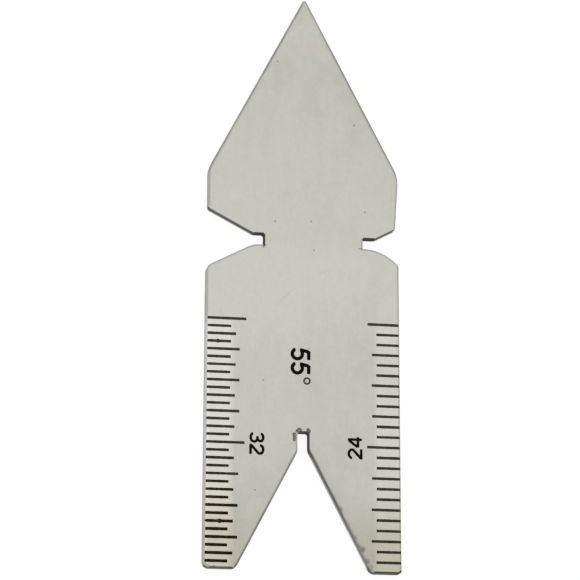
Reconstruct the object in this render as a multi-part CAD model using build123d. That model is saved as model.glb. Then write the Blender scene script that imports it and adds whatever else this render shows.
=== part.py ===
"""Center gauge for 55 degree screw threads, ground from one thin steel plate.

The plate lies flat with its marked face up. X runs across the blade, Y runs
along it towards the point, and Z is the thickness. The origin is under the
middle of the plate, on the surface that it rests on. All sizes are millimetres.
"""

import os
from math import radians, sin, tan

from build123d import *

INCH = 25.4

# Blank
blade_length = 59.9
blade_width = 20.0
blade_thickness = 1.2
back_edge_break = 0.05

# Rolled edge of the marked face, much wider than it is deep
roll_width = 0.2
roll_depth = 0.09

# Thread form, shared by the point and the notches
form_angle = 55.0

# Point
tip_radius = 0.24
left_shoulder_radius = 2.6
right_shoulder_radius = 3.4

# Head, from the shoulders to the notches, a little narrower than the blade
left_head_inset = 0.11
right_head_inset = 0.11
right_head_lean = 3.5

# Fishtail notch between the feet, with a relief slot past its root
foot_width = 3.2
fishtail_slot_width = 1.15
fishtail_slot_reach = 0.925
fishtail_slot_corner = 0.25
fishtail_throat_radius = 1.25
right_flank_shift = 0.128
left_foot_outer_radius = 0.65
left_foot_inner_radius = 0.55
left_foot_rise = 0.13
right_foot_inner_radius = 0.8
right_foot_outer_radius = 0.3

# Side notches: their middle line lies this far below the shoulders
notch_drop = 7.065

# Large notch in the left edge, with a relief slot at its root
left_notch_depth = 5.95
left_slot_length = 1.13
left_slot_width = 1.2
left_slot_corner = 0.25
left_upper_throat_radius = 0.3
left_upper_mouth_radius = 0.5
left_lower_throat_radius = 2.0
left_lower_mouth_radius = 0.9

# Small notch in the right edge. Below it, the edge leans in by right_edge_inset
right_slot_depth = 3.86
right_slot_width = 1.12
right_slot_corner = 0.1
right_throat_radius = 1.25
right_mouth_rise = 1.64
right_mouth_slope = 28.0
right_upper_mouth_radius = 0.3
right_lip_slope = 45.0
right_lip_drop = 1.76
right_lip_flat = 0.06
right_lower_mouth_radius = 0.55
right_edge_inset = 0.11

# Narrow reliefs cut right through at the lower corners of the two side slots. The
# left one runs on down from its slot's end, the right one on inwards from its
# slot's lower side. Each reaches a little way past its corner into the slot.
left_relief_width = 0.12
left_relief_reach = 0.35
right_relief_width = 0.06
right_relief_reach = 0.46
relief_overlap = 0.05

# How far a sharp stretch of the marked face's edge reaches past its corners
sharp_margin = 0.1

# Shallow dished nicks in the marked face round the end of the fishtail's slot, as
# (x, y, radius) from the middle of that end
nick_depth = 0.08
nicks = [
    (-0.4, 0.16, 0.3),
    (-0.64, 0.11, 0.16),
    (0.49, 0.22, 0.2),
    (0.62, 0.1, 0.16),
    (-0.91, -0.25, 0.21),
    (-0.91, -0.5, 0.18),
    (-0.89, -0.77, 0.2),
]

# Graduations: lines engraved across the two long edges, over one inch
scale_length = INCH
mark_width = 0.22
mark_depth = 0.05
left_divisions = 32
left_mark_lengths = {16: 3.95, 4: 3.35, 2: 2.9, 1: 2.4}
left_mark_margin = 0.2
right_divisions = 24
right_mark_lengths = {12: 3.25, 3: 2.8, 1: 2.3}
right_mark_margin = 0.0

half_width = blade_width / 2
half_form = radians(form_angle / 2)

# Places of the point and of the side slots, measured up from the feet
apex = blade_length + tip_radius * (1 / sin(half_form) - 1)
notch_middle = apex - half_width / tan(half_form) - notch_drop
left_throat = left_notch_depth - half_width - left_slot_width / 2 / tan(half_form)
left_slot_end = left_throat + left_slot_length
right_slot_end = half_width - right_slot_depth


def point_corners():
    """Shoulder, tip and shoulder. The two flanks meet at the form angle."""
    left, right = half_width - left_head_inset, half_width - right_head_inset
    return [
        (-left, apex - left / tan(half_form), left_shoulder_radius),
        (0, apex, tip_radius),
        (right, apex - right / tan(half_form), right_shoulder_radius),
    ]


def left_notch_corners():
    """Full thread form in the left edge, then the relief slot."""
    low, high = notch_middle - left_slot_width / 2, notch_middle + left_slot_width / 2
    low_mouth = notch_middle - left_notch_depth * tan(half_form)
    high_mouth = notch_middle + (left_notch_depth - left_head_inset) * tan(half_form)
    return [
        (-half_width, low_mouth, left_lower_mouth_radius),
        (left_throat, low, left_lower_throat_radius),
        (left_slot_end, low, 0),
        (left_slot_end, high, left_slot_corner),
        (left_throat, high, left_upper_throat_radius),
        (left_head_inset - half_width, high_mouth, left_upper_mouth_radius),
    ]


def right_notch_corners():
    """Sloping upper lip, slot, and a lower lip that rounds over to the edge."""
    low, high = notch_middle - right_slot_width / 2, notch_middle + right_slot_width / 2
    shoulder_x, shoulder_y, _ = point_corners()[-1]
    mouth_height = notch_middle + right_mouth_rise
    mouth = shoulder_x - (shoulder_y - mouth_height) * tan(radians(right_head_lean))
    throat = mouth - (mouth_height - high) / tan(radians(right_mouth_slope))
    lip_slope = tan(radians(right_lip_slope))
    lip = half_width - right_lip_drop / lip_slope
    lip_radius = (lip - right_slot_end - right_lip_flat) / tan(radians(right_lip_slope / 2))
    edge = half_width - right_edge_inset
    return [
        (mouth, mouth_height, right_upper_mouth_radius),
        (throat, high, right_throat_radius),
        (right_slot_end, high, right_slot_corner),
        (right_slot_end, low, 0),
        (lip, low, lip_radius),
        (edge, low - (edge - lip) * lip_slope, right_lower_mouth_radius),
    ]


def fishtail_corners():
    """The two feet, the thread form between them, and its relief slot."""
    half_mouth = half_width - foot_width
    half_slot = fishtail_slot_width / 2
    root = half_mouth / tan(half_form)
    throat = root - half_slot / tan(half_form)
    end = root + fishtail_slot_reach
    return [
        (half_width, 0, right_foot_outer_radius),
        (half_mouth + right_flank_shift, 0, right_foot_inner_radius),
        (half_slot, throat + right_flank_shift / tan(half_form), fishtail_throat_radius),
        (half_slot, end, fishtail_slot_corner),
        (-half_slot, end, fishtail_slot_corner),
        (-half_slot, throat, fishtail_throat_radius),
        (-half_mouth + left_foot_rise * tan(half_form), left_foot_rise, left_foot_inner_radius),
        (-half_width, left_foot_rise, left_foot_outer_radius),
    ]


def outline():
    """Closed outline of the plate, from corners (x, y, radius) taken clockwise."""
    corners = left_notch_corners() + point_corners() + right_notch_corners() + fishtail_corners()
    places = [(x, y) for x, y, _ in corners]
    radii = [radius for _, _, radius in corners]
    return make_face(FilletPolyline(*places, radius=radii, close=True))


def block(x_low, x_high, y_low, y_high):
    """Upright block between two X and two Y places, taller than the plate."""
    centre = Pos((x_low + x_high) / 2, (y_low + y_high) / 2)
    return centre * Box(x_high - x_low, y_high - y_low, 3 * blade_thickness)


def corner_reliefs():
    """Cutters for the narrow reliefs at the lower corners of the two side slots."""
    end, low = left_slot_end, notch_middle - left_slot_width / 2
    left = block(end - left_relief_width, end, low - left_relief_reach, low + relief_overlap)
    end, low = right_slot_end, notch_middle - right_slot_width / 2
    right = block(end - right_relief_reach, end + relief_overlap, low - right_relief_width, low)
    return [left, right]


def sharp_stretches():
    """Blocks over the walls that meet the marked face in a sharp edge, with no roll.

    They are the upper sides of both side notches, the end of the left slot, the
    right side of the fishtail with the end of its slot, and the ends of both feet.
    """
    reach = sharp_margin + roll_width
    left_low, left_edge = notch_middle - left_slot_width / 2, left_slot_end + reach
    left_mouth = notch_middle + left_notch_depth * tan(half_form) + sharp_margin
    right_high = notch_middle + right_slot_width / 2 - sharp_margin
    right_mouth = notch_middle + right_mouth_rise + sharp_margin
    foot = half_width - foot_width
    tail = foot / tan(half_form) + fishtail_slot_reach
    left_foot, right_foot = -foot - sharp_margin, foot + right_flank_shift + sharp_margin
    return [
        block(-half_width - reach, left_edge, notch_middle, left_mouth),
        block(left_slot_end - reach, left_edge, left_low, notch_middle),
        block(right_slot_end - reach, half_width, right_high, right_mouth),
        block(0, right_foot, 0, tail + reach),
        block(sharp_margin - fishtail_slot_width / 2, 0, tail - sharp_margin, tail + reach),
        block(right_foot, half_width + reach, -reach, reach + sharp_margin),
        block(left_foot_outer_radius - half_width, left_foot, left_foot_rise - reach, left_foot_rise + reach),
    ]


def mark_length(number, lengths):
    """Length of a numbered mark: that of the coarsest division that it falls on."""
    return next(length for step, length in lengths.items() if number % step == 0)


def scale_grooves(divisions, lengths, margin, side):
    """Engraved lines of one scale. Side is -1 for the left edge and 1 for the right."""
    grooves = []
    for number in range(1, divisions + 1):
        outer = half_width - margin
        inner = half_width - mark_length(number, lengths)
        height = scale_length * number / divisions
        groove = Box(outer - inner, mark_width, 2 * mark_depth)
        grooves.append(Pos(side * (outer + inner) / 2, height, blade_thickness) * groove)
    return grooves


def slot_nicks():
    """Balls that cut the dished nicks: each meets the face in a circle of its nick's radius."""
    end = (half_width - foot_width) / tan(half_form) + fishtail_slot_reach
    balls = []
    for x, y, radius in nicks:
        ball_radius = (radius**2 + nick_depth**2) / (2 * nick_depth)
        balls.append(Pos(x, end + y, blade_thickness + ball_radius - nick_depth) * Sphere(ball_radius))
    return balls


def gauge_plate():
    """The whole gauge, with its rolled and sharp edges, its reliefs, its nicks and both scales."""
    blank = extrude(outline(), blade_thickness)
    blank = chamfer(blank.faces().sort_by(Axis.Z)[0].edges(), back_edge_break)
    face = blank.faces().sort_by(Axis.Z)[-1]
    plate = chamfer(face.edges(), roll_width, roll_depth, reference=face)
    plate += [blank & stretch for stretch in sharp_stretches()]
    plate -= corner_reliefs()
    plate -= slot_nicks()
    plate -= scale_grooves(left_divisions, left_mark_lengths, left_mark_margin, -1)
    plate -= scale_grooves(right_divisions, right_mark_lengths, right_mark_margin, 1)
    return Pos(0, -blade_length / 2, 0) * plate


os.makedirs("parts", exist_ok=True)
export_step(gauge_plate(), "parts/gauge_plate.step")
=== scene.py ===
"""Center gauge for 55 degree threads: its scales, numbers and ground steel finish.

The plate comes from model.glb and keeps its shape. This script adds the
black fill of the engraved lines and of the numbers, and the materials. Lengths
in the code are millimetres, and go to metres where a mesh or object is made.
"""

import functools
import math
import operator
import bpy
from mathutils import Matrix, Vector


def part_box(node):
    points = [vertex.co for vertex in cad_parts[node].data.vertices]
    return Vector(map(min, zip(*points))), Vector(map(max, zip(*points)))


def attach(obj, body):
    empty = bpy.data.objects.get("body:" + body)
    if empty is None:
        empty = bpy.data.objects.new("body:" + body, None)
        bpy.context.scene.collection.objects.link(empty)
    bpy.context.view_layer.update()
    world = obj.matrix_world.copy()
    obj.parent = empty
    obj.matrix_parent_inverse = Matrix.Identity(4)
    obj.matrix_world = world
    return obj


bl_info = {
    "name": "Center Gauge Finish",
    "version": (1, 0, 0),
    "blender": (4, 5, 0),
    "location": "View3D > Sidebar > Gauge",
    "description": "Fills the scales and numbers of a steel center gauge and gives it its ground finish",
    "category": "Object",
}

import bpy
import numpy as np
from bpy.props import FloatProperty, FloatVectorProperty, IntProperty, PointerProperty
from bpy.types import Operator, Panel, PropertyGroup
from mathutils import Matrix, Vector

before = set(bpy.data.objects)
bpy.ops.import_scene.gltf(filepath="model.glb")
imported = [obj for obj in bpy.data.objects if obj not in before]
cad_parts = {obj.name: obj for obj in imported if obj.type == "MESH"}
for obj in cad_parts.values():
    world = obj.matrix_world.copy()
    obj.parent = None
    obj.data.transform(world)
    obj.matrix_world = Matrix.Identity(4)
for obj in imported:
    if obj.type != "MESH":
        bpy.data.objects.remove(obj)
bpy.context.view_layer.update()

MM = 0.001
PLATE = "gauge_plate"
BODY = "root"
plate_low, plate_high = (np.array(corner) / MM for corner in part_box(PLATE))
half_width = -float(plate_low[0])
face_height = float(plate_high[2])
foot_line = float(plate_low[1])

# Sizes that the plate has in its own source. The right edge leans in by EDGE_LEAN of the height
# above the feet, and the fishtail's right flank stands FLANK_SHIFT further out than the left one
ROLL_WIDTH = 0.2
ROLL_DEPTH = 0.09
SCALE_LENGTH = 25.4
LEFT_MARKS = {16: 3.95, 4: 3.35, 2: 2.9, 1: 2.4}
RIGHT_MARKS = {12: 3.25, 3: 2.8, 1: 2.3}
HALF_FORM = math.radians(27.5)
FOOT_WIDTH = 3.2
FLANK_SHIFT = 0.128
TIP_RADIUS = 0.24
EDGE_LEAN = 0.0035

# Where the lines of the point's flanks meet, and those of the fishtail
APEX = plate_high[1] + TIP_RADIUS * (1 / math.sin(HALF_FORM) - 1)
ROOT = plate_low[1] + (half_width - FOOT_WIDTH) / math.tan(HALF_FORM)


# Sizes and colours


def colour_setting(name, description, default):
    """Colour setting."""
    return FloatVectorProperty(name=name, description=description, subtype="COLOR", size=3, default=default)


def size_setting(name, description, default):
    """Length setting, in millimetres."""
    return FloatProperty(name=name, description=f"{description}, in millimetres", min=0.001, default=default)


def share_setting(name, description, default):
    """Setting from 0 to 1."""
    return FloatProperty(name=name, description=description, min=0.0, max=1.0, default=default)


class SteelLook(PropertyGroup):
    """Colours and grain of the ground steel."""

    clean_colour: colour_setting("Clean steel", "Colour of the cleanest steel", (0.573, 0.573, 0.53))
    dull_colour: colour_setting("Dull steel", "Colour of the steel towards both ends", (0.455, 0.447, 0.372))
    # Painted shade and light: the walls are darkest in the slots, lighter outside them and palest at their
    # rims; the darkest colour also paints shade along sharp edges
    sheared_and_shade_colour: colour_setting("Sheared walls", "Colour of the walls of the slots", (0.012, 0.011, 0.007))
    open_wall_shade_colour: colour_setting("Open walls", "Colour of walls outside the slots", (0.11, 0.11, 0.088))
    wall_highlight_colour: colour_setting("Pale walls", "Colour of the rims of those walls", (0.5, 0.5, 0.47))
    worn_colour: colour_setting("Wear", "Colour of the brown wear along the fishtail", (0.1, 0.088, 0.055))
    rubbed_colour: colour_setting("Rubbed patch", "Colour of the warm patch near the tip", (0.58, 0.5, 0.45))
    warm_tint: colour_setting("Warm tint", "Tint of the steel low on both legs", (1.0, 0.955, 0.915))
    shade_colour: colour_setting("Shade", "Colour that the flanks' rims darken to", (0.05, 0.05, 0.045))
    edge_shade: share_setting("Edge shade", "How far the steel darkens along the flanks", 0.35)
    roughness: share_setting("Roughness", "Roughness of the ground faces", 0.42)
    grain_pitch: size_setting("Grain pitch", "Width of one grinding streak", 0.22)


class FillLook(PropertyGroup):
    """The black fill in the lines and numbers."""

    colour: colour_setting("Fill", "Colour of the fill in the lines", (0.016, 0.011, 0.004))
    number_colour: colour_setting("Number fill", "Colour of the fill in the numbers", (0.004, 0.003, 0.002))
    thin_colour: colour_setting("Thin fill", "Colour of the fill in the degree ring", (0.085, 0.083, 0.058))
    faded_colour: colour_setting("Faded fill", "Colour of the fill where it is worn", (0.084, 0.083, 0.058))
    line_width: size_setting("Line width", "Width of a filled line", 0.28)
    rise: size_setting("Rise", "Height of the fill's crown over the face", 0.006)
    sink: size_setting("Sink", "Depth of the fill below the face", 0.045)
    ragged: share_setting("Raggedness", "Share by which a line's width varies", 0.07)
    seed: IntProperty(name="Seed", description="Start of the random numbers for the ragged edges", default=55)


class NumberSizes(PropertyGroup):
    """Sizes of the engraved numbers."""

    angle_height: size_setting("Angle height", "Height of the angle's digits", 2.04)
    angle_stroke: size_setting("Angle stroke", "Stroke of the angle's digits", 0.37)
    scale_height: size_setting("Scale number height", "Height of the scales' numbers", 1.51)
    scale_stroke: size_setting("Scale number stroke", "Stroke of the scales' numbers", 0.28)
    ring_radius: size_setting("Ring radius", "Radius of the degree ring's middle line", 0.295)
    ring_stroke: size_setting("Ring stroke", "Stroke of the degree ring", 0.2)


class StageLook(PropertyGroup):
    """Floor, light and camera. Places are in metres."""

    floor_colour: colour_setting("Floor", "Colour of the floor", (0.2, 0.2, 0.2))
    floor_lift: share_setting("Floor lift", "White that the floor shows beside its own shading", 0.885)
    sky_level: share_setting("Sky level", "Brightness of the plain surroundings", 0.75)
    sky_front: share_setting("Sky front", "Brightness of the surroundings low down beyond the feet", 0.05)
    lamp_watts: FloatProperty(
        name="Lamp",
        description="Power of the large overhead lamp",
        subtype="POWER",
        default=0.59,
    )
    lamp_size: FloatProperty(
        name="Lamp size",
        description="Side of the overhead lamp",
        unit="LENGTH",
        default=0.7,
    )
    lamp_place: FloatVectorProperty(
        name="Lamp place",
        description="Place of the overhead lamp, which looks at the plate",
        size=3,
        subtype="XYZ",
        default=(0.12, 0.2, 0.7),
    )
    camera_place: FloatVectorProperty(
        name="Camera place",
        description="Place of the camera",
        size=3,
        subtype="XYZ",
        default=(-0.04449, -0.06548, 0.25104),
    )
    camera_turn: FloatVectorProperty(
        name="Camera turn",
        description="Turn from straight down, as an axis whose length is the angle in degrees",
        size=3,
        default=(14.146, -9.761, 1.445),
    )
    lens: FloatProperty(name="Lens", description="Focal length, in millimetres", default=159.79)


# Surfaces

# Points around a bead
AROUND = 12


def along(length, end, count):
    """Places along a bead: close together where the ends round off, then evenly spaced."""
    rounding = end * (1 - np.cos(np.linspace(0, math.pi / 2, 5)))
    middle = np.linspace(end, length - end, count)[1:-1]
    return np.concatenate([rounding, middle, length - rounding[::-1]])


def line(start, stop, count=24):
    """Straight run: the start plus an even share of the way to the stop."""
    part = np.linspace(0, 1, count)[:, None]
    return np.array(start) * (1 - part) + np.array(stop) * part


def arc(centre, radii, start, stop, count=48):
    """Part of an oval. Angles are in degrees, from straight up towards the right."""
    angle = np.radians(np.linspace(start, stop, count))
    return np.stack([centre[0] + radii[0] * np.sin(angle), centre[1] + radii[1] * np.cos(angle)], axis=1)


def resample(points, end, spacing):
    """The same path with its points at the places that a bead needs, by length along it."""
    steps = np.hypot(*np.diff(points, axis=0).T)
    reach = np.concatenate([[0], np.cumsum(steps)])
    places = along(reach[-1], end, max(4, int(reach[-1] / spacing)))
    return np.stack([np.interp(places, reach, points[:, axis]) for axis in (0, 1)], axis=1), places


def edge(side, y):
    """Distance of a long edge from the middle line. Side is -1 for the left edge and 1 for the right."""
    return half_width - (side > 0) * EDGE_LEAN * (y - foot_line)


def surface_height(x, y):
    """Height of the marked face, which falls away over the rolled side edges."""
    over = np.maximum(0, np.abs(x) - (edge(np.sign(x), y) - ROLL_WIDTH))
    return face_height - over * ROLL_DEPTH / ROLL_WIDTH


def sections(path, half, rise, sink):
    """Ovals across a path: half a width to each side, a low crown over the face and a sink below it."""
    heading = np.gradient(path, axis=0)
    heading /= np.hypot(heading[:, 0], heading[:, 1])[:, None]
    across = np.stack([-heading[:, 1], heading[:, 0]], axis=1)
    turn = np.linspace(0, 2 * math.pi, AROUND, endpoint=False)
    side = np.cos(turn)[None, :, None] * across[:, None, :] * half[:, None, None]
    flat = path[:, None, :] + side
    swell = half / half.max()
    lift = np.where(np.sin(turn) > 0, rise, sink)[None, :] * np.sin(turn)[None, :] * swell[:, None]
    height = surface_height(flat[..., 0], flat[..., 1]) + lift
    return np.concatenate([flat, height[..., None]], axis=2)


def grid_faces(rows, columns, closed):
    """Quads of a grid that closes round its columns, and round its rows too if it is closed."""
    row = np.arange(rows if closed else rows - 1)[:, None]
    column = np.arange(columns)[None, :]
    ahead, beside = (row + 1) % rows, (column + 1) % columns
    near, far = row * columns, ahead * columns
    corners = [near + column, far + column, far + beside, near + beside]
    return np.stack(np.broadcast_arrays(*corners), axis=2).reshape(-1, 4)


def bead(path, width, rise, sink, end, spacing):
    """Closed bead along an open path. Its width falls to nothing at both ends as a quarter circle does."""
    path, places = resample(path, end, spacing)
    nearest = np.minimum(places, places[-1] - places)
    shrink = np.sqrt(1 - (1 - np.clip(nearest / end, 0, 1)) ** 2)
    half = (width(places) if callable(width) else np.full(len(places), width)) / 2 * shrink
    rings = sections(path, half, rise, sink)[1:-1]
    ends = path[[0, -1]]
    tips = np.column_stack([ends, surface_height(*ends.T)])
    rows = len(rings)
    vertices = np.concatenate([rings.reshape(-1, 3), tips])
    quads = grid_faces(rows, AROUND, closed=False)
    first = np.arange(AROUND)
    last = first + (rows - 1) * AROUND
    fan = [
        np.stack([np.full(AROUND, rows * AROUND), first, np.roll(first, -1)], axis=1),
        np.stack([np.full(AROUND, rows * AROUND + 1), np.roll(last, -1), last], axis=1),
    ]
    return vertices, quads, np.concatenate(fan)


def hoop(centre, radius, width, rise, sink, count=64):
    """Bead along a circle, closed on itself."""
    angle = np.linspace(0, 2 * math.pi, count, endpoint=False)
    path = np.stack([centre[0] + radius * np.cos(angle), centre[1] + radius * np.sin(angle)], axis=1)
    wrapped = np.concatenate([path[-1:], path, path[:1]])
    rings = sections(wrapped, np.full(count + 2, width / 2), rise, sink)[1:-1]
    return rings.reshape(-1, 3), grid_faces(count, AROUND, closed=True), np.zeros((0, 3), int)


def make_piece(name, parts, material):
    """One object from closed surfaces, each given as vertices, quads and triangles in millimetres."""
    vertices, faces, first = [], [], 0
    for points, quads, triangles in parts:
        vertices.append(points)
        faces += (quads + first).tolist() + (triangles + first).tolist()
        first += len(points)
    mesh = bpy.data.meshes.new(name)
    mesh.from_pydata((np.concatenate(vertices) * MM).tolist(), [], faces)
    mesh.polygons.foreach_set("use_smooth", np.ones(len(mesh.polygons), bool))
    mesh.update()
    mesh.materials.append(material)
    piece = bpy.data.objects.new(name, mesh)
    bpy.context.scene.collection.objects.link(piece)
    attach(piece, BODY)
    return piece


# Digits, drawn one unit high from their lower left corner: each stroke is a chain of runs


def digit_two():
    """Oval hook that runs into a slanting stroke, over a flat base."""
    return [
        [arc((0.388, 0.709), (0.275, 0.215), -95, 130), line((0.56, 0.54), (0.075, 0.1))],
        [line((0.01, 0.082), (0.72, 0.082))],
    ]


def digit_three():
    """Small upper bowl, large lower bowl, and the short arm between them."""
    return [
        [arc((0.33, 0.738), (0.252, 0.184), -87, 150)],
        [arc((0.324, 0.32), (0.291, 0.237), 20, 253)],
        [line((0.24, 0.541), (0.5, 0.541))],
    ]


def digit_four():
    """Upright, crossbar and slanting stroke."""
    return [
        [line((0.567, 0.01), (0.567, 0.98))],
        [line((0.03, 0.288), (0.75, 0.288))],
        [line((0.53, 0.93), (0.06, 0.31))],
    ]


def digit_five():
    """Top bar, a stem that leans outwards, and a round bowl."""
    return [
        [line((0.61, 0.915), (0.14, 0.922))],
        [line((0.198, 0.93), (0.093, 0.465))],
        [arc((0.308, 0.346), (0.254, 0.254), -48, 250)],
    ]


def placed(stroke, corner, height, upward):
    """Turns a digit by a quarter and puts its lower left corner in place.

    Upward is the sign of X that its top points to.
    """
    points = np.concatenate(stroke) * height
    return np.stack([corner[0] + upward * points[:, 1], corner[1] - upward * points[:, 0]], axis=1)


def number_beads(digits, height, stroke, upward, fill):
    """Beads for the strokes of some digits, each digit given with its corner."""
    return [
        bead(placed(run, corner, height, upward), stroke, fill.rise, fill.sink, end=stroke / 4, spacing=0.04)
        for digit, corner in digits
        for run in digit()
    ]


# Shader nodes


class Socket:
    """An output socket of a shader. Arithmetic on it adds Math nodes."""

    def __init__(self, shader, output):
        self.shader = shader
        self.output = output

    def math(self, operation, *values):
        """Math node of the given operation on the values, in their order."""
        return self.shader.add("ShaderNodeMath", {"operation": operation}, dict(enumerate(values)))

    def __add__(self, other):
        return self.math("ADD", self, other)

    def __radd__(self, other):
        return self.math("ADD", other, self)

    def __sub__(self, other):
        return self.math("SUBTRACT", self, other)

    def __rsub__(self, other):
        return self.math("SUBTRACT", other, self)

    def __mul__(self, other):
        return self.math("MULTIPLY", self, other)

    def __abs__(self):
        return self.math("ABSOLUTE", self)

    def __or__(self, other):
        """The larger of two masks."""
        return self.math("MAXIMUM", self, other)

    def ramp(self, low, high):
        """Rises smoothly from 0 at low to 1 at high. With low above high it falls."""
        if low > high:
            return 1 - self.ramp(high, low)
        settings = {"interpolation_type": "SMOOTHSTEP"}
        inputs = {"Value": self, "From Min": low, "From Max": high}
        return self.shader.add("ShaderNodeMapRange", settings, inputs)


class Shader:
    """The node tree of a material or of the world."""

    def __init__(self, owner):
        self.owner = owner
        owner.use_nodes = True
        self.tree = owner.node_tree
        self.tree.nodes.clear()

    def add(self, kind, settings=None, inputs=None, output=0):
        """Adds one node, sets it up, feeds its inputs, and gives back one of its outputs."""
        node = self.tree.nodes.new(kind)
        for name, value in (settings or {}).items():
            setattr(node, name, value)
        for name, value in (inputs or {}).items():
            self.feed(node.inputs[name], value)
        return Socket(self, node.outputs[output]) if node.outputs else None

    def feed(self, target, value):
        """Links a socket, or sets a number or a colour."""
        if isinstance(value, Socket):
            self.tree.links.new(value.output, target)
        elif target.type == "RGBA":
            target.default_value = (*value, 1.0)
        else:
            target.default_value = value

    def place(self):
        """Object coordinates in millimetres, as one vector."""
        raw = self.add("ShaderNodeTexCoord", output="Object")
        return self.add("ShaderNodeVectorMath", {"operation": "SCALE"}, {0: raw, "Scale": 1 / MM})

    def split(self, vector):
        """The three parts of a vector."""
        return [self.add("ShaderNodeSeparateXYZ", inputs={0: vector}, output=axis) for axis in range(3)]

    def noise(self, place, scale, detail=2.0, roughness=0.5):
        """Cloudy noise from about 0 to 1. Scale is in waves per millimetre along each axis."""
        spread = self.add("ShaderNodeVectorMath", {"operation": "MULTIPLY"}, {0: place, 1: scale})
        inputs = {"Vector": spread, "Scale": 1.0, "Detail": detail, "Roughness": roughness}
        return self.add("ShaderNodeTexNoise", inputs=inputs)

    def blend(self, amount, first, second, mode="MIX"):
        """Colour that goes from the first to the second as the amount goes from 0 to 1."""
        settings = {"data_type": "RGBA", "blend_type": mode, "clamp_factor": True}
        return self.add("ShaderNodeMix", settings, {0: amount, 6: first, 7: second}, output=2)

    def grey(self, value):
        """A grey of the given brightness."""
        return self.add("ShaderNodeCombineColor", inputs={0: value, 1: value, 2: value})

    def vector(self, operation, first, second, output=0):
        """Vector Math node of the given operation."""
        return self.add("ShaderNodeVectorMath", {"operation": operation}, {0: first, 1: second}, output)

    def spot(self, place, centre, radius, rim):
        """1 within a round spot on the plate, falling to 0 over its soft rim. The centre is (x, y)."""
        flat = self.vector("MULTIPLY", place, (1, 1, 0))
        return self.vector("DISTANCE", flat, (*centre, 0), "Value").ramp(radius + rim, radius)

    def streak(self, place, start, stop, radius, rim):
        """1 within a straight streak between two places, falling to 0 over its soft rim."""
        run = Vector(stop) - Vector(start)
        heading = (*run.normalized(), 0)
        offset = self.vector("SUBTRACT", self.vector("MULTIPLY", place, (1, 1, 0)), (*start, 0))
        reach = self.vector("DOT_PRODUCT", offset, heading, "Value")
        reach = reach.math("MINIMUM", reach.math("MAXIMUM", reach, 0.0), run.length)
        nearest = self.add("ShaderNodeVectorMath", {"operation": "SCALE"}, {0: heading, "Scale": reach})
        return self.vector("DISTANCE", offset, nearest, "Value").ramp(radius + rim, radius)

    def streaks(self, place, runs, rim):
        """The largest of several such streaks, each given as (start, stop, radius)."""
        return functools.reduce(operator.or_, (self.streak(place, *run, rim) for run in runs))

    def spots(self, place, centres, radius, rim):
        """The largest of several such spots."""
        return functools.reduce(operator.or_, (self.spot(place, centre, radius, rim) for centre in centres))

    def seen(self):
        """1 for what the camera sees, straight, in steel or through glass."""
        rays = ("Is Camera Ray", "Is Glossy Ray", "Is Transmission Ray")
        return functools.reduce(operator.or_, (self.add("ShaderNodeLightPath", output=ray) for ray in rays))

    def finish(self, **inputs):
        """Principled surface with the given inputs, on the material's output."""
        named = {name.replace("_", " "): value for name, value in inputs.items()}
        surface = self.add("ShaderNodeBsdfPrincipled", inputs=named)
        self.add("ShaderNodeOutputMaterial", inputs={"Surface": surface})
        return self.owner


# Materials


# Wear of the marked face, as places (x, y) in millimetres
PITS = [
    (-2.84, 23.10),
    (5.27, 16.58),
    (6.37, 7.29),
    (-2.98, 5.85),
    (0.75, 6.02),
    (1.04, 2.98),
    (-4.13, -10.80),
    (-4.87, -21.98),
]
FISHTAIL_WEAR = [
    (3.69, -23.74),
    (4.39, -25.12),
    (5.19, -26.60),
    (5.54, -27.34),
    (6.01, -27.61),
    (6.44, -28.84),
    (6.74, -29.41),
]
FOOT_BLOB = (-8.89, -29.80)
RUBBED_PATCH = (0.8, 24.90)

# Smears, and dark rims of painted shade, partly wear, along the face's sharp edges, as (start, stop, reach)
SMEARS = [((-2.65, -2.80), (-1.21, -1.37), 0.03), ((1.57, 0.44), (2.51, 0.91), 0.03)]
RIM_SHADES = [
    ((-5.1, 4.555), (-4.15, 4.555), 0.01),
    ((-4.073, 4.4), (-4.073, 3.3), 0.05),
    ((6.2, 4.515), (7.4, 4.515), 0.03),
    ((7.6, 4.56), (9.45, 5.545), 0.045),
    ((0.42, -15.985), (0.555, -16.12), 0.08),
    ((0.575, -16.2), (0.575, -17.7), 0.045),
    ((-0.3, -15.962), (0.4, -15.962), 0.07),
    ((-9.3, -29.82), (-7.1, -29.82), 0.08),
    ((7.3, -29.95), (9.7, -29.95), 0.14),
    ((9.7, -29.95), (9.93, -29.7), 0.08),
]

# How strongly each kind of wear and of painted shade colours the steel, from 0 to 1
SMEARED = 0.06
RUBBED = 0.5
PITTED = 0.5
RIM_SHADED = 0.9
BLOBBED = 0.8
SPOTTED = 0.6
STAINED = 0.9
NICKED = 0.75
ENGRAVED = 0.6

# Parts of the plate that the masks below tell apart, all in millimetres
FISHTAIL_SLOT_END = -15.96
NICKS_REACH = 1.2
NICKS_LOW = -17.2
NICKS_HIGH = -15.3
SHOULDERS = 10.2
LEFT_THROAT = -5.0
RIGHT_THROAT = 7.4
LEG_TOP = -10

# Depth at which a nick shows its full brown, and depth of the grinding streaks, in millimetres
WEAR_COLOUR_DEPTH = 0.03
GRAIN_DEPTH = 0.004


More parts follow.
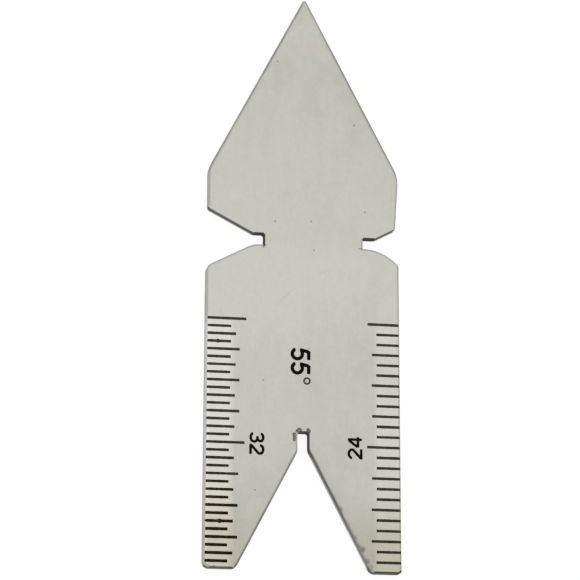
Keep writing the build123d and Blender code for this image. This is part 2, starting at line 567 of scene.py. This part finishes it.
def clean_and_dull(steel, look, place, textures):
    """Ground steel that is duller towards the feet and the tip, with grinding streaks and cloudy spots."""
    x, y, _ = steel.split(place)
    streaks, fine, clouds, patches, mottle = textures
    # Duller towards the feet, the tip and the right edge, but cleaner across the legs and below the tip
    handled = y.ramp(2, -14) * 0.3 + y.ramp(-12, -36) * 0.66 + y.ramp(-2, 34) * 0.55 + x.ramp(-12, 12) * 0.2
    handled -= (x.ramp(2, 8) * 0.15 + 0.13) * y.ramp(LEG_TOP, -16) * y.ramp(-27, -22)
    handled -= y.ramp(21, 27) * 0.2
    dullness = handled + (clouds - 0.5) * 0.65 + (patches - 0.5) * 0.35 - 0.1
    colour = steel.blend(dullness.ramp(-0.05, 1.05), look.clean_colour, look.dull_colour)
    # Paler between the lines of both scales, and in a faint band below the side notches
    left_scale = x.ramp(-6.8, -7.8) * 0.24 + x.ramp(-9.4, -9.7) * 0.1
    beside_lines = (left_scale + x.ramp(7.0, 7.8) * 0.14) * y.ramp(-4.0, -5.5)
    streaked = 0.07 + y.ramp(4, -6) * 0.06
    shade = 1 + (streaks - 0.5) * streaked + (fine - 0.5) * 0.07 + (mottle - 0.5) * 0.13 + beside_lines
    shade += y.ramp(-9, -3) * y.ramp(5, 1) * 0.025
    colour = steel.blend(1.0, colour, steel.grey(shade), mode="MULTIPLY")
    # Warmer low on both legs, and in a small patch near the tip
    warmed = x.ramp(-6.2, -7.4) * y.ramp(-14, -24) * 0.8 | x.ramp(3, 8) * y.ramp(-21, -29) * 0.35
    colour = steel.blend(warmed, colour, look.warm_tint, mode="MULTIPLY")
    rubbed = steel.spot(place, RUBBED_PATCH, 0.4, 0.6)
    return steel.blend(rubbed * RUBBED, colour, look.rubbed_colour)


def shaded_flanks(steel, look, place, patches, colour):
    """Darker steel along the flanks of the point and of the fishtail, and brown wear on its right side."""
    x, y, _ = steel.split(place)
    # Distances from the lines of the two pairs of flanks, inwards from the edge
    right_side = x.ramp(0.3, 0.5)
    outward = abs(x) * math.cos(HALF_FORM)
    from_point = (APEX - y) * math.sin(HALF_FORM) - outward
    shift = right_side * (FLANK_SHIFT * math.cos(HALF_FORM))
    from_fishtail = outward - (ROOT - y) * math.sin(HALF_FORM) - shift
    near_edge = from_point.ramp(0.4, 0.1) | from_fishtail.ramp(0.35, 0.1) * y.ramp(ROOT - 0.5, ROOT - 1.5)
    uneven = steel.noise(place, (0.35, 0.35, 1)).ramp(0.3, 0.7) * 0.6 + 0.4
    colour = steel.blend(near_edge * uneven * look.edge_shade, colour, look.shade_colour)
    rim = from_fishtail.ramp(0.16, 0.03) * right_side * y.ramp(ROOT + 0.8, ROOT - 0.2)
    spotted = steel.spots(place, FISHTAIL_WEAR, 0.12, 0.35) * patches.ramp(0.3, 0.55)
    stained = (rim * y.ramp(-31, -22) * STAINED) | (spotted * SPOTTED)
    return steel.blend(stained, colour, look.worn_colour)


def wear_and_rim_shade(steel, look, place, flatness, pits, colour):
    """Smears, pits, painted shade in dark rims, the blob on the left foot, and what shows in the nicks and
    grooves.
    """
    x, y, z = steel.split(place)
    smears = steel.streaks(place, SMEARS, 0.2)
    colour = steel.blend(smears * SMEARED, colour, look.worn_colour)
    blob = steel.spot(place, FOOT_BLOB, 0.1, 0.14)
    # Painted shade of the burrs along the sharp edges, partly wear
    rims = steel.streaks(place, RIM_SHADES, 0.06)
    marks = (pits * PITTED) | (rims * RIM_SHADED) | (blob * BLOBBED)
    colour = steel.blend(marks, colour, look.sheared_and_shade_colour)
    # The nicks show brown, but the rolled edge on the left of the slot doesn't
    near_slot = y.ramp(NICKS_LOW, NICKS_LOW + 0.1) * y.ramp(NICKS_HIGH, NICKS_HIGH - 0.1)
    beside_slot = abs(x).ramp(NICKS_REACH + 0.1, NICKS_REACH) * near_slot
    sunk = z.ramp(face_height - 0.002, face_height - WEAR_COLOUR_DEPTH)
    nicked = sunk * flatness.ramp(0.6, 0.7) * beside_slot
    below_end = y.ramp(FISHTAIL_SLOT_END + 0.01, FISHTAIL_SLOT_END - 0.04)
    rolled = x.ramp(-0.79, -0.76) * x.ramp(-0.3, -0.4) * below_end
    colour = steel.blend(nicked * (1 - rolled) * NICKED, colour, look.worn_colour)
    # The grooves are dark under the fill, where their floor lies level below the face
    below_face = z.ramp(face_height - 0.02, face_height - 0.04) * z.ramp(0.1, 0.2)
    engraved = below_face * flatness.ramp(0.9, 0.95) * (1 - beside_slot)
    return steel.blend(engraved * ENGRAVED, colour, look.sheared_and_shade_colour)


def notch_walls(steel, look, place, wall, colour):
    """Dark sheared walls in painted shade in the notches and at the feet's ends. The outer edges keep nearly
    the face's colour.
    """
    x, y, z = steel.split(place)
    # The head's leaning right edge is an outer edge too
    head_edge = x.ramp(9.4, 9.5) * y.ramp(5.55, 5.65)
    inside = abs(x).ramp(half_width - 0.12, half_width - 0.16) * y.ramp(SHOULDERS + 0.4, SHOULDERS)
    # Painted light: outside the slots the walls are lighter, and paler still at their rims and down the
    # fishtail
    left_notch = x.ramp(LEFT_THROAT + 0.1, LEFT_THROAT - 0.6)
    right_notch = x.ramp(RIGHT_THROAT - 0.1, RIGHT_THROAT + 0.6)
    open_fishtail = y.ramp(ROOT - 0.6, ROOT - 2.0) * y.ramp(-29.7, -29.2)
    open_wall = (left_notch | right_notch) * y.ramp(0, 1) | open_fishtail
    notch_highlight = z.ramp(0.5, 0.1) | z.ramp(0.95, 1.15) * y.ramp(-5, 0) * 0.6
    highlight_share = open_wall * (notch_highlight | open_fishtail * z.ramp(0.85, 0.3) | y.ramp(-20, -30) * 0.25)
    # Painted light: the ends of the feet are a little paler
    foot_ends = y.ramp(-29.3, -29.7)
    wall_colour = steel.blend(open_wall, look.sheared_and_shade_colour, look.open_wall_shade_colour)
    wall_colour = steel.blend(highlight_share, wall_colour, look.wall_highlight_colour)
    wall_colour = steel.blend(foot_ends * 0.18, wall_colour, look.wall_highlight_colour)
    colour = steel.blend(wall * inside * (1 - head_edge), colour, wall_colour)
    # Painted shade: the left edge is a little darker than the right one
    return steel.blend(wall * x.ramp(-9.4, -9.7) * 0.35, colour, look.open_wall_shade_colour)


def steel_material(look):
    """Ground steel: streaks along the blade, dull ends, sheared walls in painted shade, shaded edges, pits
    and wear.
    """
    steel = Shader(bpy.data.materials.new("ground_steel"))
    place = steel.place()
    flatness = abs(steel.split(steel.add("ShaderNodeTexCoord", output="Normal"))[2])
    wall = flatness.ramp(0.5, 0.3)
    pitch = 1 / look.grain_pitch
    streaks = steel.noise(place, (pitch, 0.12, 1), detail=3.0, roughness=0.65)
    fine = steel.noise(place, (6 * pitch, 0.5, 1))
    clouds = steel.noise(place, (0.22, 0.16, 0.2), detail=3.0, roughness=0.6)
    patches = steel.noise(place, (0.9, 0.7, 1))
    mottle = steel.noise(place, (2.6, 2.2, 1), detail=3.0, roughness=0.6)
    pits = steel.spots(place, PITS, 0.04, 0.1)
    colour = clean_and_dull(steel, look, place, (streaks, fine, clouds, patches, mottle))
    colour = shaded_flanks(steel, look, place, patches, colour)
    colour = wear_and_rim_shade(steel, look, place, flatness, pits, colour)
    colour = notch_walls(steel, look, place, wall, colour)
    roughness = look.roughness + (streaks - 0.5) * 0.12 + wall * 0.2
    bumps = streaks * 0.6 + fine * 0.4 - pits * 2
    relief = {"Strength": 0.25, "Distance": GRAIN_DEPTH * MM, "Height": bumps}
    bump = steel.add("ShaderNodeBump", inputs=relief)
    return steel.finish(Base_Color=colour, Roughness=roughness, Metallic=1.0, Normal=bump)


def fill_material(name, colour, faded, wear=(0.0, 0.0)):
    """Black fill: nearly matt, paler where it is thin. Wear is how far it fades, at the feet and above."""
    fill = Shader(bpy.data.materials.new(name))
    place = fill.place()
    _, y, _ = fill.split(place)
    low, high = wear
    thin = fill.noise(place, (3.0, 3.0, 1.0), detail=3.0).ramp(0.5, 0.8)
    fading = thin * 0.5 + low + y.ramp(-27, -12) * (high - low)
    blended = fill.blend(fading, colour, faded)
    return fill.finish(Base_Color=blended, Roughness=0.6 + thin * 0.15, Specular_IOR_Level=0.05)


# The floor reaches this far to every side, in metres, and lies this far below the plate
FLOOR_REACH = 3.0
FLOOR_GAP = 0.01 * MM


def floor_material(look):
    """White floor that keeps the plate's shadow, and looks white to the camera and in the steel."""
    floor = Shader(bpy.data.materials.new("floor"))
    glow = floor.blend(floor.seen(), (0, 0, 0), [look.floor_lift] * 3)
    return floor.finish(
        Base_Color=look.floor_colour,
        Roughness=0.9,
        Emission_Color=glow,
        Emission_Strength=1.0,
    )


def sky(look):
    """Plain grey surroundings, dim low down beyond the feet. They look white to the camera."""
    world = Shader(bpy.data.worlds.new("sky"))
    _, y, z = world.split(world.add("ShaderNodeTexCoord", output="Generated"))
    dim = y.ramp(0.1, -0.6) * z.ramp(0.8, 0.3)
    camera_ray = world.add("ShaderNodeLightPath", output="Is Camera Ray")
    colour = world.blend(dim, [look.sky_level] * 3, [look.sky_front] * 3)
    colour = world.blend(camera_ray, colour, (1, 1, 1))
    background = world.add("ShaderNodeBackground", inputs={"Color": colour})
    world.add("ShaderNodeOutputWorld", inputs={"Surface": background})
    return world.owner


# Scales. Side is -1 for the left edge and 1 for the right

SCALE_ENDS = (foot_line, foot_line + SCALE_LENGTH)

# How far inside the edge the fill of a line starts
EDGE_MARGINS = {-1: 0.16, 1: 0.04}

# How far the fill runs on past its line's inner end, at the foot and at the top of either scale
RUN_ON = {-1: (0.02, 0.2), 1: (0.27, 0.17)}

# Typical slips of a line's ends, in millimetres, and of its width, as a share of it
END_SLIP = 0.02
WIDTH_SLIP = 0.03

# Waves along a line's edges, in radians per millimetre
EDGE_WAVES = (2.4, 5.5, 12.0)

# Lines of the left scale with a blot, and the blot's distance from the middle line
BLOTS = {29: 8.75, 6: 8.4}
BLOT_SWELLING = 0.55
BLOT_REACH = 0.13

# How much heavier the lowest lines of the left scale are, and how many there are
HEAVY = 0.15
HEAVY_LINES = 8


def line_width(fill, chance, extra=0.0, blot=None):
    """Width along one line: its own width, slow waves, and a swelling where the fill made a blot."""
    phases = chance.uniform(0, 2 * math.pi, 3)
    width = fill.line_width * (1 + extra + chance.normal(0, WIDTH_SLIP))

    def at(places):
        waves = np.sin(np.outer(places, EDGE_WAVES) + phases).mean(axis=1)
        swelling = 0 if blot is None else BLOT_SWELLING * np.exp(-(((places - blot) / BLOT_REACH) ** 2))
        return width * (1 + fill.ragged * waves + swelling)

    return at


def scale_beads(divisions, lengths, side, fill, blots, heavy):
    """One bead for each line of a scale. The outer ends slip on the left scale only."""
    chance = np.random.default_rng(fill.seed + divisions)
    margin = EDGE_MARGINS[side]
    beads = []
    for number in range(1, divisions + 1):
        length = next(reach for step, reach in lengths.items() if number % step == 0)
        height = foot_line + SCALE_LENGTH * number / divisions
        slips = chance.normal(0, END_SLIP, 2) * (side < 0, 1)
        run_on = np.interp(height, SCALE_ENDS, RUN_ON[side])
        outer, inner = np.array([edge(side, height) - margin, half_width - length - run_on]) + slips
        extra = heavy * np.clip((HEAVY_LINES + 1 - number) / 4, 0, 1)
        blot = outer - blots[number] if number in blots else None
        width = line_width(fill, chance, extra, blot)
        path = line((side * outer, height), (side * inner, height))
        beads.append(bead(path, width, fill.rise, fill.sink, end=0.05, spacing=0.1))
    return beads


# Numbers: each digit with its lower left corner

NUMBER_32 = [(digit_three, (-5.464, -16.167)), (digit_two, (-5.464, -17.303))]
NUMBER_24 = [(digit_two, (6.04, -18.570)), (digit_four, (6.02, -17.390))]
NUMBER_55 = [(digit_five, (-1.339, -7.304)), (digit_five, (-1.339, -8.765))]
RING_CENTRE = (0.355, -10.704)


# Operators


class GAUGE_OT_steel(Operator):
    """Give the plate its ground steel"""

    bl_idname = "gauge.steel"
    bl_label = "Ground Steel"

    def execute(self, context):
        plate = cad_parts[PLATE]
        plate.data.materials.clear()
        plate.data.materials.append(steel_material(context.scene.gauge_steel))
        return {"FINISHED"}


class GAUGE_OT_scales(Operator):
    """Fill the engraved lines of both scales"""

    bl_idname = "gauge.scales"
    bl_label = "Scales"

    def execute(self, context):
        fill = context.scene.gauge_fill
        left_fill = fill_material("left_fill", fill.colour, fill.faded_colour, (0.0, 0.5))
        right_fill = fill_material("right_fill", fill.colour, fill.faded_colour, (0.35, 0.5))
        left = scale_beads(32, LEFT_MARKS, -1, fill, BLOTS, HEAVY)
        right = scale_beads(24, RIGHT_MARKS, 1, fill, {}, 0.0)
        make_piece("left_scale_fill", left, left_fill)
        make_piece("right_scale_fill", right, right_fill)
        return {"FINISHED"}


class GAUGE_OT_numbers(Operator):
    """Add the numbers of both scales and of the thread's angle"""

    bl_idname = "gauge.numbers"
    bl_label = "Numbers"

    def execute(self, context):
        fill, sizes = context.scene.gauge_fill, context.scene.gauge_numbers
        material = fill_material("number_fill", fill.number_colour, fill.colour, (0.0, 0.1))
        thin = fill_material("ring_fill", fill.thin_colour, fill.faded_colour)
        small, bold = (sizes.scale_height, sizes.scale_stroke), (sizes.angle_height, sizes.angle_stroke)
        left = number_beads(NUMBER_32, *small, 1, fill)
        right = number_beads(NUMBER_24, *small, -1, fill)
        angle = number_beads(NUMBER_55, *bold, 1, fill)
        ring = hoop(RING_CENTRE, sizes.ring_radius, sizes.ring_stroke, fill.rise, fill.sink)
        make_piece("number_32", left, material)
        make_piece("number_24", right, material)
        make_piece("number_55", angle, material)
        make_piece("degree_ring", [ring], thin)
        return {"FINISHED"}


class GAUGE_OT_stage(Operator):
    """Set up the floor, the light and the camera"""

    bl_idname = "gauge.stage"
    bl_label = "Stage"

    def execute(self, context):
        look = context.scene.gauge_stage
        scene = context.scene
        scene.view_settings.view_transform = "Standard"
        scene.world = sky(look)
        mesh = bpy.data.meshes.new("floor")
        corners = [(-1, -1), (1, -1), (1, 1), (-1, 1)]
        places = [(x * FLOOR_REACH, y * FLOOR_REACH, -FLOOR_GAP) for x, y in corners]
        mesh.from_pydata(places, [], [(0, 1, 2, 3)])
        mesh.materials.append(floor_material(look))
        floor = bpy.data.objects.new("floor", mesh)
        scene.collection.objects.link(floor)
        lamp = bpy.data.lights.new("overhead", "AREA")
        lamp.energy = look.lamp_watts
        lamp.size = look.lamp_size
        holder = bpy.data.objects.new("overhead", lamp)
        holder.location = look.lamp_place
        holder.rotation_euler = Vector(look.lamp_place).to_track_quat("Z", "Y").to_euler()
        scene.collection.objects.link(holder)
        lens = bpy.data.cameras.new("camera")
        lens.lens = look.lens
        lens.sensor_width = 36.0
        lens.clip_start = 0.01
        camera = bpy.data.objects.new("camera", lens)
        turn = Vector(look.camera_turn)
        rotation = Matrix.Rotation(math.radians(turn.length), 4, turn.normalized())
        camera.matrix_world = Matrix.Translation(look.camera_place) @ rotation
        scene.collection.objects.link(camera)
        scene.camera = camera
        return {"FINISHED"}


class GAUGE_PT_finish(Panel):
    """Sizes, colours and steps of the gauge's finish"""

    bl_idname = "GAUGE_PT_finish"
    bl_label = "Center Gauge"
    bl_space_type = "VIEW_3D"
    bl_region_type = "UI"
    bl_category = "Gauge"

    def draw(self, context):
        for group, owner in GROUPS.items():
            box = self.layout.box()
            box.label(text=owner.__doc__)
            settings = getattr(context.scene, group)
            for name in owner.__annotations__:
                box.prop(settings, name)
        for step in STEPS:
            self.layout.operator(step.bl_idname)


GROUPS = {
    "gauge_steel": SteelLook,
    "gauge_fill": FillLook,
    "gauge_numbers": NumberSizes,
    "gauge_stage": StageLook,
}
STEPS = [GAUGE_OT_steel, GAUGE_OT_scales, GAUGE_OT_numbers, GAUGE_OT_stage]


def register():
    for owner in [*GROUPS.values(), *STEPS, GAUGE_PT_finish]:
        bpy.utils.register_class(owner)
    for group, owner in GROUPS.items():
        setattr(bpy.types.Scene, group, PointerProperty(type=owner))


def unregister():
    for group in GROUPS:
        delattr(bpy.types.Scene, group)
    for owner in reversed([*GROUPS.values(), *STEPS, GAUGE_PT_finish]):
        bpy.utils.unregister_class(owner)


def main():
    register()
    bpy.ops.gauge.steel()
    bpy.ops.gauge.scales()
    bpy.ops.gauge.numbers()
    bpy.ops.gauge.stage()


if __name__ == "__main__":
    main()
